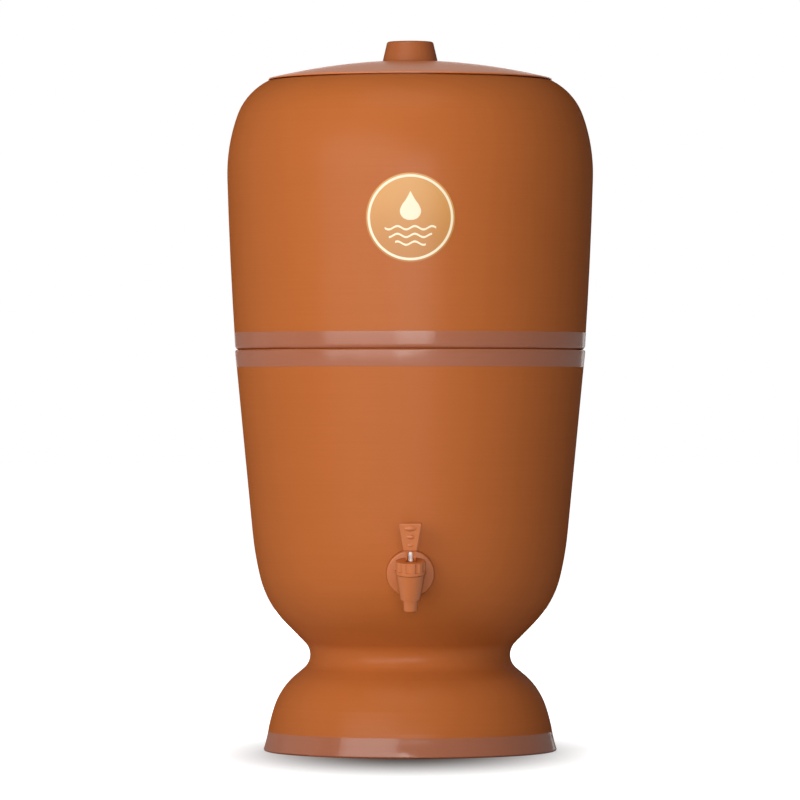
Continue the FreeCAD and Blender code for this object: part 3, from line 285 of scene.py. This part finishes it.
MOULD_TEXTURE = 0.00003
DRAWN_LINES = 0.00001
STEEL_DARK = (0.42, 0.42, 0.43, 1.0)
STEEL_LIGHT = (0.66, 0.66, 0.67, 1.0)


def moulded_plastic(name, dark, light, rough, gloss=0.0):
    """Injection-moulded plastic with a fine texture and a faint flow mottle; it may have a sheen."""
    material, tree, surface = new_material(name, IOR=1.48, Coat_Roughness=0.3)
    marks = use_group(tree, WHEEL_MARKS, Ring_Pitch=0.004, Mottle_Size=0.012, Grain_Size=0.00035)
    tree.links.new(mixed(tree, marks["Mottle"], dark, light), surface["Base Color"])
    roughened(tree, surface, least=rough - 0.04, spread=0.08, mark=marks["Grain"])
    if gloss:
        surface["Specular IOR Level"].default_value = 0.0
        tree.links.new(sheen(tree, gloss), surface["Coat Weight"])
    bumped(tree, surface, marks["Grain"], MOULD_TEXTURE)
    return material


def grained(name, dark, light, size, rough, depth):
    """A surface of grains or beads, such as carbon, ceramic or foam."""
    material, tree, surface = new_material(name)
    cells = use_group(tree, SPECKLE, Size=size)
    tree.links.new(mixed(tree, cells["Shade"], dark, light), surface["Base Color"])
    roughened(tree, surface, least=rough - 0.05, spread=0.1, mark=cells["Shade"])
    bumped(tree, surface, less(tree, 1.0, cells["Edge"]), depth)
    return material


def drawn_steel():
    """Bright drawn wire with fine lines along it."""
    material, tree, surface = new_material("drawn_steel", Metallic=1.0)
    marks = use_group(tree, WHEEL_MARKS, Ring_Pitch=0.0004, Mottle_Size=0.006)
    tree.links.new(mixed(tree, marks["Rings"], STEEL_DARK, STEEL_LIGHT), surface["Base Color"])
    roughened(tree, surface, least=0.2, spread=0.15, mark=marks["Rings"])
    bumped(tree, surface, marks["Rings"], DRAWN_LINES)
    return material


# ---------------------------------------------------------------- the badge on the front

GOLD_LIGHT = (0.640, 0.300, 0.070, 1.0)
GOLD_DARK = (0.500, 0.190, 0.030, 1.0)
CREAM = (0.900, 0.790, 0.560, 1.0)
PRINT_EDGE = 0.00016    # half the width over which the print fades
PRINT_RELIEF = 0.00003
PRINT_GRAIN = 0.2       # the grain's share of the relief, beside the print's 1
RING_MARGIN = 0.0012    # from the badge's edge to the ring
RING_INSET = 0.0030     # from the badge's edge to the ring's inner side
DROP_FOOT = -0.0020     # heights are from the badge's middle
DROP_TALL = 0.0210
DROP_CUT = 0.0002       # the height over which the drop's two ends fade
# height and half width along the drop, both as shares of how tall it is
DROP_OUTLINE = ((0.0, 0.0), (0.03, 0.16), (0.12, 0.29), (0.30, 0.36), (0.48, 0.31), (0.72, 0.15), (1.0, 0.0))
# height and half length of each wave
WAVES = ((-0.0075, 0.0185), (-0.0130, 0.0155), (-0.0185, 0.0110))
WAVE_PITCH = 0.0125
WAVE_RISE = 0.0012
WAVE_HALF_WIDTH = 0.00075


def printed_inside(tree, distance, limit):
    """1 where a distance is under its limit, with the print's soft edge."""
    return less(tree, 1.0, step_up(tree, distance, limit - PRINT_EDGE, limit + PRINT_EDGE))


def printed_drop(tree, side, height):
    """A drop that rises from a round foot to a point."""
    rise = maths(tree, "DIVIDE", less(tree, height, DROP_FOOT), DROP_TALL)
    shape = place(tree, "ShaderNodeFloatCurve", {"Value": rise})
    curve = shape.mapping.curves[0]
    for share, half_width in DROP_OUTLINE[1:-1]:
        curve.points.new(share, half_width)
    curve.points[0].location = DROP_OUTLINE[0]
    curve.points[-1].location = DROP_OUTLINE[-1]
    shape.mapping.update()
    half_width = times(tree, shape.outputs["Value"], DROP_TALL)
    drop = printed_inside(tree, less(tree, maths(tree, "ABSOLUTE", side), half_width), 0.0)
    point = DROP_FOOT + DROP_TALL
    above_foot = step_up(tree, height, DROP_FOOT, DROP_FOOT + DROP_CUT)
    below_point = less(tree, 1.0, step_up(tree, height, point - DROP_CUT, point))
    return times(tree, drop, times(tree, above_foot, below_point))


def printed_wave(tree, side, height, level, half_length):
    crest = times(tree, maths(tree, "SINE", times(tree, side, 2 * math.pi / WAVE_PITCH)), WAVE_RISE)
    off = maths(tree, "ABSOLUTE", less(tree, less(tree, height, level), crest))
    along = printed_inside(tree, maths(tree, "ABSOLUTE", side), half_length)
    return times(tree, printed_inside(tree, off, WAVE_HALF_WIDTH), along)


def badge_print():
    """The badge: a gold ground in a cream ring, with a drop over three waves in cream."""
    low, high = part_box("front_label")
    middle = (low.z + high.z) / 2
    radius = (high.z - low.z) / 2
    material, tree, surface = new_material("badge_print", IOR=1.48)
    centred = place(tree, "ShaderNodeMapping",
                    {"Vector": object_coords(tree), "Location": (0.0, 0.0, -middle)}).outputs[0]
    face = vector_maths(tree, "MULTIPLY", centred, (1.0, 0.0, 1.0))[0]
    out = vector_maths(tree, "LENGTH", face)["Value"]
    side, _, height = split(tree, centred)
    printed = less(tree, printed_inside(tree, out, radius - RING_MARGIN),
                   printed_inside(tree, out, radius - RING_INSET))
    printed = maths(tree, "MAXIMUM", printed, printed_drop(tree, side, height))
    for level, half_length in WAVES:
        printed = maths(tree, "MAXIMUM", printed, printed_wave(tree, side, height, level, half_length))
    ground = mixed(tree, step_up(tree, height, -radius, radius), GOLD_DARK, GOLD_LIGHT)
    tree.links.new(mixed(tree, printed, ground, CREAM), surface["Base Color"])
    grain = use_group(tree, WHEEL_MARKS, Grain_Size=0.0004)["Grain"]
    roughened(tree, surface, least=0.34, spread=0.08, mark=grain)
    bumped(tree, surface, plus(tree, printed, times(tree, grain, PRINT_GRAIN)), PRINT_RELIEF)
    return material


# ---------------------------------------------------------------- what each piece is finished with

clay_body = fired_clay("clay_body")
slip = burnished_slip()
# the lid's clay is painted lighter by its shade, a painted light standing in for light from above on its
# dome
clay_lid = fired_clay(
    "clay_lid", shade=1.3, gloss=0.70, edge_loss=0.12, knob_levels=(KNOB_FOOT, KNOB_TOP + KNOB_SPARE))
tap_plastic = moulded_plastic(
    "tap_plastic", dark=(0.53, 0.148, 0.038, 1.0), light=(0.56, 0.161, 0.044, 1.0), rough=0.6, gloss=0.85)
white_plastic = moulded_plastic(
    "white_plastic", dark=(0.80, 0.77, 0.74, 1.0), light=(0.88, 0.86, 0.84, 1.0), rough=0.25)
black_rubber = moulded_plastic(
    "black_rubber", dark=(0.020, 0.020, 0.021, 1.0), light=(0.040, 0.040, 0.041, 1.0), rough=0.7)
pale_silicone = moulded_plastic(
    "pale_silicone", dark=(0.70, 0.68, 0.65, 1.0), light=(0.78, 0.76, 0.73, 1.0), rough=0.45)
candle_ceramic = grained(
    "candle_ceramic", dark=(0.80, 0.77, 0.71, 1.0), light=(0.90, 0.88, 0.83, 1.0),
    size=0.0006, rough=0.85, depth=0.00008)
pressed_carbon = grained(
    "pressed_carbon", dark=(0.010, 0.010, 0.011, 1.0), light=(0.050, 0.050, 0.052, 1.0),
    size=0.0009, rough=0.8, depth=0.0003)
float_foam = grained(
    "float_foam", dark=(0.84, 0.84, 0.83, 1.0), light=(0.92, 0.92, 0.91, 1.0),
    size=0.0028, rough=0.6, depth=0.0002)
steel = drawn_steel()
badge = badge_print()

SLOT_FINISHES = {
    "clay": clay_body, "label": badge, "tap_plastic": tap_plastic, "white_plastic": white_plastic,
    "rubber": black_rubber, "silicone": pale_silicone, "steel": steel,
    "filter_ceramic": candle_ceramic, "carbon": pressed_carbon, "float_foam": float_foam,
}
NODE_FINISHES = {"lid": clay_lid}

for subpart in frame["record"]["subparts"]:
    finish = NODE_FINISHES.get(subpart["node"], SLOT_FINISHES[subpart["material_slot"]])
    mesh = NODES[subpart["node"]].data
    mesh.materials.clear()
    mesh.materials.append(finish)


# ---------------------------------------------------------------- slip bands

JOINT_BAND_TALL = 0.0127
FOOT_BAND_TALL = 0.0145
FILM = 0.0002           # how thick the slip lies
BARE_EDGE = 0.0004      # clay left bare at the joint and at the ground
OUTSIDE = 0.05          # a face that turns outwards less than this isn't on the outside
DEEPEST_INSET = 0.006   # nor is a face further in than this from the widest point
SAME_POINT = 1e-6       # points nearer than this are merged
ON_PLANE = 1e-7         # a point this near to a cut lies on it


def keep_between(work, low, high):
    """Cut away what lies below the low level and above the high one."""
    for level, side in ((low, -1.0), (high, 1.0)):
        bmesh.ops.bisect_plane(work, geom=work.verts[:] + work.edges[:] + work.faces[:], dist=ON_PLANE,
                               plane_co=(0.0, 0.0, level), plane_no=(0.0, 0.0, side), clear_outer=True)


def keep_outside(work):
    """Delete the faces of a turned wall that aren't on its outside."""
    work.normal_update()
    widest = max(vertex.co.xy.length for vertex in work.verts)
    hidden = []
    for face in work.faces:
        middle = face.calc_center_median().xy
        outwards = face.normal.xy.dot(middle.normalized())
        if outwards < OUTSIDE or middle.length < widest - DEEPEST_INSET:
            hidden.append(face)
    bmesh.ops.delete(work, geom=hidden, context="FACES")


def slip_band(name, node, body, low, high):
    """A thin coat of slip on the outside of a turned vessel, between two levels."""
    work = bmesh.new()
    work.from_mesh(NODES[node].data)
    bmesh.ops.remove_doubles(work, verts=work.verts, dist=SAME_POINT)
    keep_between(work, low, high)
    keep_outside(work)
    mesh = bpy.data.meshes.new(name)
    work.to_mesh(mesh)
    work.free()
    for polygon in mesh.polygons:
        polygon.use_smooth = True
    mesh.materials.append(slip)
    band = bpy.data.objects.new(name, mesh)
    bpy.context.scene.collection.objects.link(band)
    coat = band.modifiers.new("coat", "SOLIDIFY")
    coat.thickness = FILM
    coat.offset = 0.0
    band.modifiers.new("true_curve", "WEIGHTED_NORMAL")
    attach(band, body)


slip_band("upper_joint_band", "upper_vessel", "upper_pot",
          low=JOINT_LEVEL + BARE_EDGE, high=JOINT_LEVEL + JOINT_BAND_TALL)
slip_band("lower_joint_band", "lower_vessel", "pot_base",
          low=JOINT_LEVEL - JOINT_BAND_TALL, high=JOINT_LEVEL - BARE_EDGE)
slip_band("foot_band", "lower_vessel", "pot_base", low=BARE_EDGE, high=FOOT_BAND_TALL)


# ---------------------------------------------------------------- floor and background

FLOOR_REACH = 20.0      # from the pot to the floor's edge
# the floor is painted grey in a soft ellipse around the foot, a painted shadow, and glows white beyond it
SHADOW_MIDDLE = (-0.003, -0.04, 0.0)
SHADOW_REACH = (0.165, 0.335, 1.0)
SHADOW_CORE = 0.16      # the floor clears between these shares of the shadow's reach
SHADOW_END = 1.16
SHADOW_GREY = (0.10, 0.10, 0.10, 1.0)
CLEAR_GREY = (0.70, 0.70, 0.70, 1.0)
WHITE = (1.0, 1.0, 1.0, 1.0)
AMBIENT = 0.04          # the even light on the pot; the background is seen at a strength of 1


def rays_to_stage(tree):
    """1 for the rays that should find a white background."""
    path = place(tree, "ShaderNodeLightPath").outputs
    seen = maths(tree, "MAXIMUM", path["Is Camera Ray"], path["Is Glossy Ray"])
    return maths(tree, "MAXIMUM", seen, path["Is Transmission Ray"])


def pale_floor():
    """A pale floor, painted grey in a soft ellipse near the foot as a painted shadow over its real one, and
    white beyond it.
    """
    material, tree, surface = new_material("pale_floor", Roughness=0.9, IOR=1.2, Emission_Color=WHITE)
    away = vector_maths(tree, "SUBTRACT", object_coords(tree), SHADOW_MIDDLE)[0]
    away = vector_maths(tree, "DIVIDE", away, SHADOW_REACH)[0]
    clear = step_up(tree, vector_maths(tree, "LENGTH", away)["Value"], SHADOW_CORE, SHADOW_END)
    tree.links.new(mixed(tree, clear, SHADOW_GREY, CLEAR_GREY), surface["Base Color"])
    tree.links.new(times(tree, clear, rays_to_stage(tree)), surface["Emission Strength"])
    return material


def studio_floor():
    mesh = bpy.data.meshes.new("studio_floor")
    corners = [(x * FLOOR_REACH, y * FLOOR_REACH, 0.0) for x, y in ((-1, -1), (1, -1), (1, 1), (-1, 1))]
    mesh.from_pydata(corners, [], [(0, 1, 2, 3)])
    mesh.materials.append(pale_floor())
    floor = bpy.data.objects.new("studio_floor", mesh)
    bpy.context.scene.collection.objects.link(floor)


def studio_world():
    """A dim even light, and white where the background itself is seen."""
    world = bpy.data.worlds.new("studio")
    bpy.context.scene.world = world
    world.use_nodes = True
    sky = world.node_tree
    background = sky.nodes["Background"].inputs
    background["Color"].default_value = WHITE
    strength = plus(sky, AMBIENT, times(sky, rays_to_stage(sky), 1.0 - AMBIENT))
    sky.links.new(strength, background["Strength"])


studio_floor()
studio_world()


# ---------------------------------------------------------------- lamps and camera

POT_MIDDLE = Vector((0.0, 0.0, 0.28))
CAMERA_PLACE = (-0.0075, -4.506, 0.2588)
LENS = 274.5
SENSOR = 36.0


def softbox(name, azimuth, elevation, distance, width, height, power):
    """A soft panel lamp facing the pot, turned from the front to the right by azimuth."""
    lamp = bpy.data.lights.new(name, "AREA")
    lamp.shape = "RECTANGLE"
    lamp.size = width
    lamp.size_y = height
    lamp.energy = power
    holder = bpy.data.objects.new(name, lamp)
    turn, lift = math.radians(azimuth), math.radians(elevation)
    towards = Vector((math.sin(turn) * math.cos(lift), -math.cos(turn) * math.cos(lift), math.sin(lift)))
    holder.location = POT_MIDDLE + distance * towards
    holder.rotation_euler = towards.to_track_quat("Z", "Y").to_euler()
    bpy.context.scene.collection.objects.link(holder)


def front_camera():
    """A long lens level with the pot's middle, looking at the tap's side."""
    lens = bpy.data.cameras.new("front_camera")
    lens.sensor_width = SENSOR
    lens.lens = LENS
    lens.clip_start = 0.1
    lens.clip_end = 100.0
    camera = bpy.data.objects.new("front_camera", lens)
    camera.location = CAMERA_PLACE
    camera.rotation_euler = (math.radians(90.0), 0.0, 0.0)
    bpy.context.scene.collection.objects.link(camera)
    bpy.context.scene.camera = camera


softbox("key_light", azimuth=-34.0, elevation=7.0, distance=3.0, width=2.5, height=1.9, power=60.0)
softbox("front_light", azimuth=2.0, elevation=0.0, distance=3.0, width=1.3, height=1.3, power=38.0)
softbox("left_light", azimuth=-100.0, elevation=8.0, distance=3.0, width=2.6, height=1.9, power=7.0)
softbox("top_light", azimuth=-12.0, elevation=62.0, distance=2.6, width=1.8, height=1.8, power=18.0)
softbox("back_light", azimuth=176.0, elevation=5.0, distance=3.0, width=2.2, height=1.0, power=32.0)
front_camera()
bpy.context.scene.view_settings.view_transform = "Standard"
